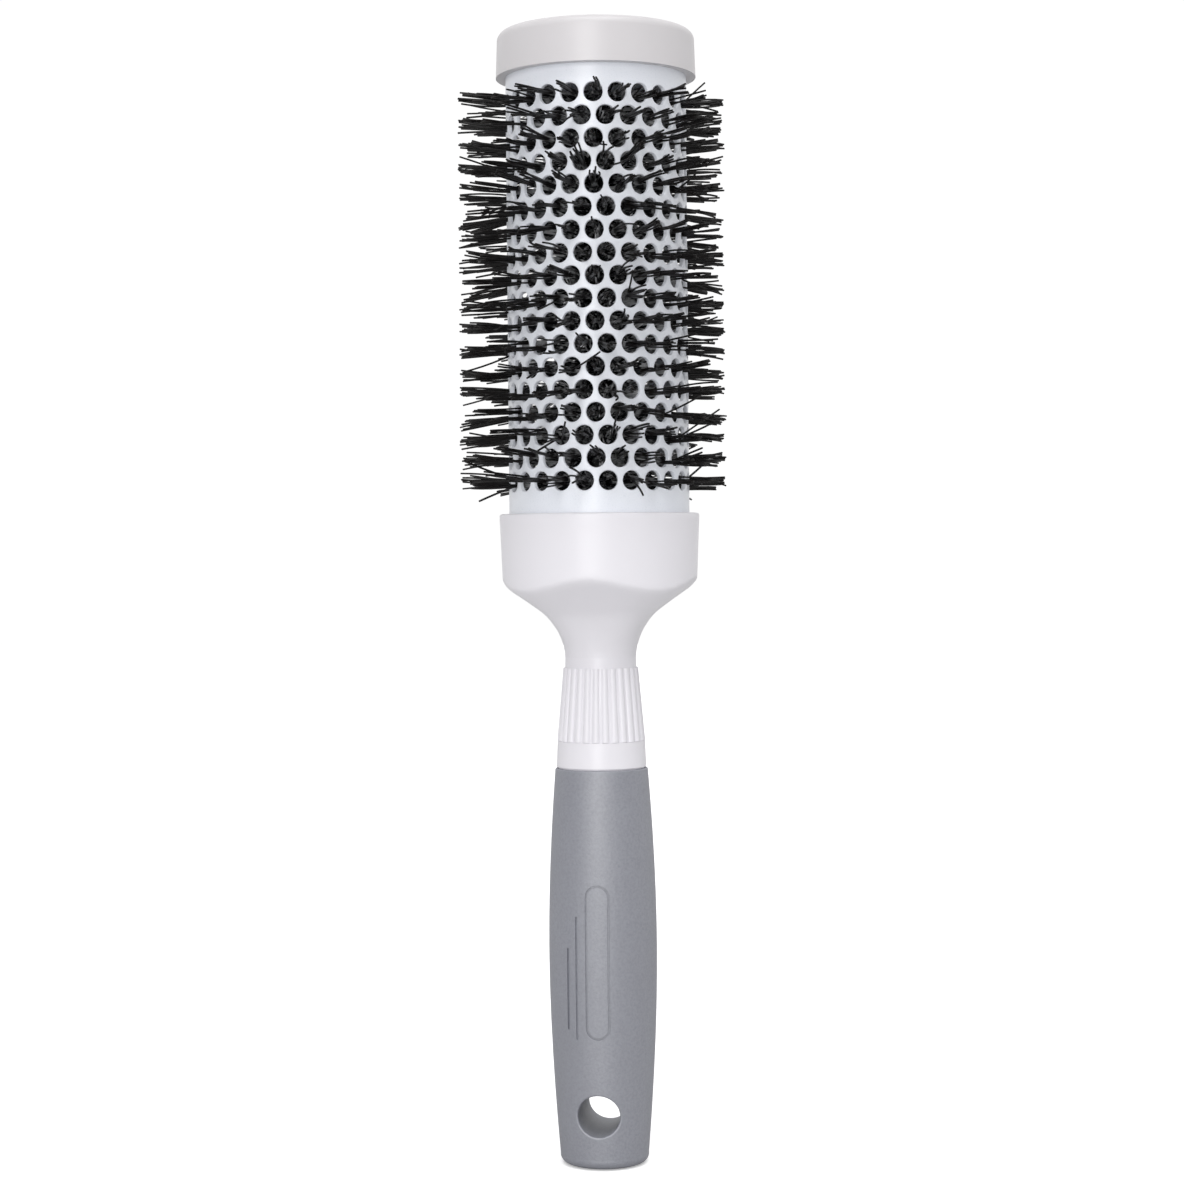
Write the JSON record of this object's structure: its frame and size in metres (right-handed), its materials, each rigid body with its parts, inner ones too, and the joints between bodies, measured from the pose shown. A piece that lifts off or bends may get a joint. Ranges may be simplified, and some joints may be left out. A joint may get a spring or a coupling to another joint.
{
  "type": "round barrel hair brush",
  "caption": "Vented round hair brush with a pale ceramic-coated barrel, black nylon bristles, white ribbed neck and grey rubber grip.",
  "frame": {"origin": "middle of the butt of the grip, where the brush's axis leaves it", "axes": "+Z along the brush axis from the butt to the end cap; the hanging hole runs along Y and the debossed outline on the grip faces -Y"},
  "size_m": [0.0584, 0.0584, 0.2506],
  "materials": {
    "cap_plastic": "satin",
    "ceramic_coat": "satin",
    "nylon_bristle": "satin",
    "core_steel": "satin",
    "white_plastic": "satin",
    "grip_rubber": "matte"
  },
  "bodies": {
    "root": {"end_cap": "cap_plastic", "barrel": "ceramic_coat", "core_wire_a": "core_steel", "core_wire_b": "core_steel", "bristle_row_01": "nylon_bristle", "bristle_row_02": "nylon_bristle", "bristle_row_03": "nylon_bristle", "bristle_row_04": "nylon_bristle", "bristle_row_05": "nylon_bristle", "bristle_row_06": "nylon_bristle", "bristle_row_07": "nylon_bristle", "bristle_row_08": "nylon_bristle", "bristle_row_09": "nylon_bristle", "bristle_row_10": "nylon_bristle", "bristle_row_11": "nylon_bristle", "bristle_row_12": "nylon_bristle", "bristle_row_13": "nylon_bristle", "bristle_row_14": "nylon_bristle", "bristle_row_15": "nylon_bristle", "bristle_row_16": "nylon_bristle", "bristle_row_17": "nylon_bristle", "bristle_row_18": "nylon_bristle", "neck": "white_plastic", "grip": "grip_rubber"}
  },
  "joints": []
}
